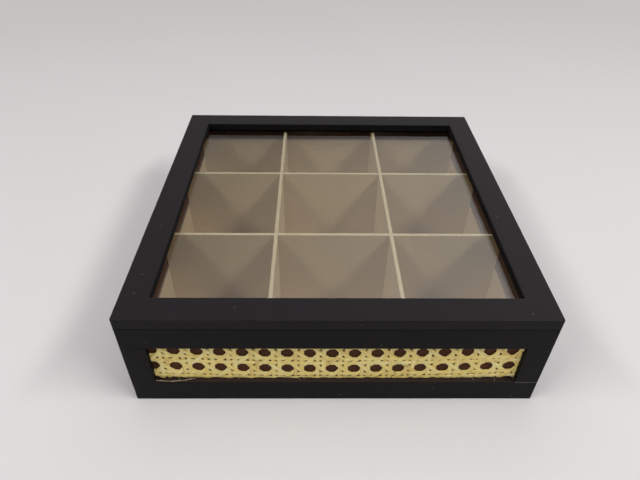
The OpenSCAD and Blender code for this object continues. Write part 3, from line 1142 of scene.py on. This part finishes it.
class TEABOX_OT_hinges(bpy.types.Operator):
    """Dresses the leaves, pins and nails of the two hinges"""
    bl_idname = "teabox.hinges"
    bl_label = "Hinges"

    def execute(self, context):
        parts = [f"{side}_{part}" for side in ("left", "right")
                 for part in ("case_leaf", "lid_leaf", "pin")]
        for part in (*parts, "case_nails", "lid_nails"):
            node = "hinge_" + part
            piece = copy_of(node)
            if part.endswith("leaf"):
                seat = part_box(node)[0].y
                round_edges(piece, "XZ", context.scene.tea_brass.easing,
                            lambda middle: middle.y > seat + LEAF_EDGE_PROUD,
                            least=LEAF_EDGE_LENGTH)
            smooth_flats(piece)
            coat(piece, old_brass())
            stand_for(piece, node)
        return {"FINISHED"}


# ---- stage ----

# The upward share of a direction that looks 30 degrees up.
SKY_MIDDLE_UP = 0.5
# The camera sees nothing nearer than this.
CAMERA_NEAR = 10 * MM


def lamp(name, place, size, power):
    """A soft rectangular lamp turned towards the box, its first size level."""
    thing = added(bpy.ops.object.light_add, type="AREA")
    thing.name = name
    thing.data.shape = "RECTANGLE"
    thing.data.size, thing.data.size_y = size
    thing.data.energy = power
    thing.location = place
    target = Vector((0, 0, (cad_box[0].z + cad_box[1].z) / 2))
    thing.rotation_euler = (thing.location - target).to_track_quat("Z", "Y").to_euler()
    return thing


def studio_world():
    """The background that the camera sees, a sky for glass and metal to mirror, brighter
    upwards and to the right, and a faint even light."""
    stage = bpy.context.scene.tea_stage
    world = bpy.data.worlds.new("studio")
    world.use_nodes = True
    graph = Graph(world.node_tree)

    def background(tone, strength):
        return graph.add("Background", {}, {"Color": tone, "Strength": strength})

    way = graph.add("TexCoord", output="Generated")
    rightwards = graph.along(way, "X") * stage.sky_right
    upwards = (graph.along(way, "Z") - SKY_MIDDLE_UP) * stage.sky_up
    glow = rightwards + upwards + stage.sky_middle
    glow = glow.at_most(stage.sky_most).at_least(stage.sky_least)
    mirrored = graph.rays("Glossy").at_least(graph.rays("Transmission"))
    shown = graph.overlay(mirrored, background(WHITE, stage.ambient), background(stage.sky, glow))
    shown = graph.overlay(graph.rays("Camera"), shown, background(stage.backdrop, 1.0))
    graph.add("OutputWorld", {}, {"Surface": shown})
    return world


class TEABOX_OT_stage(bpy.types.Operator):
    """Lays the floor and sets the lamps, the background and the camera"""
    bl_idname = "teabox.stage"
    bl_label = "Stage"

    def execute(self, context):
        scene = context.scene
        stage = scene.tea_stage
        floor = added(bpy.ops.mesh.primitive_plane_add, size=stage.floor_size,
                      location=(0, 0, cad_box[0].z))
        floor.name = "floor"
        settle(floor)
        floor.data.materials.append(floor_paper())

        sideways = stage.lamp_distance * math.cos(stage.lamp_height)
        upwards = stage.lamp_distance * math.sin(stage.lamp_height)
        tube = (stage.lamp_length, stage.lamp_width)
        lamp("right_lamp", (sideways, -stage.lamp_forward, upwards), tube, stage.right_lamp)
        lamp("left_lamp", (-sideways, -stage.lamp_forward, upwards), tube, stage.left_lamp)
        square = (stage.top_size, stage.top_size)
        for name, side, power in (("front_lamp", -1, stage.front_lamp),
                                  ("rear_lamp", 1, stage.rear_lamp)):
            overhead = (0, side * stage.top_spread, stage.top_height)
            lamp(name, overhead, square, power).visible_glossy = False

        scene.world = studio_world()
        camera = added(bpy.ops.object.camera_add, location=stage.camera_place,
                       rotation=stage.camera_turn)
        camera.name = "photo_camera"
        camera.data.lens = stage.lens
        camera.data.clip_start = CAMERA_NEAR
        scene.camera = camera
        scene.view_settings.view_transform = "Standard"
        return {"FINISHED"}


# ---- add-on ----

STEPS = (TEABOX_OT_case, TEABOX_OT_front_frame, TEABOX_OT_dividers, TEABOX_OT_cane,
         TEABOX_OT_fibres, TEABOX_OT_lid_frame, TEABOX_OT_glass, TEABOX_OT_hinges, TEABOX_OT_stage)


class TEABOX_PT_steps(bpy.types.Panel):
    """Lists the steps that dress the box"""
    bl_idname = "TEABOX_PT_steps"
    bl_label = "Tea Bag Box"
    bl_space_type = "VIEW_3D"
    bl_region_type = "UI"
    bl_category = "Tea Box"

    def draw(self, context):
        for step in STEPS:
            self.layout.operator(step.bl_idname)


def register():
    """Registers the settings, the steps and the panel."""
    for name, group in SETTINGS.items():
        bpy.utils.register_class(group)
        setattr(bpy.types.Scene, name, PointerProperty(type=group))
    for step in (*STEPS, TEABOX_PT_steps):
        bpy.utils.register_class(step)


def unregister():
    """Takes all of it back."""
    for step in reversed((*STEPS, TEABOX_PT_steps)):
        bpy.utils.unregister_class(step)
    for name, group in reversed(SETTINGS.items()):
        delattr(bpy.types.Scene, name)
        bpy.utils.unregister_class(group)


def main():
    """Dresses the whole box."""
    register()
    for step in STEPS:
        group, name = step.bl_idname.split(".")
        getattr(getattr(bpy.ops, group), name)()


if __name__ == "__main__":
    main()
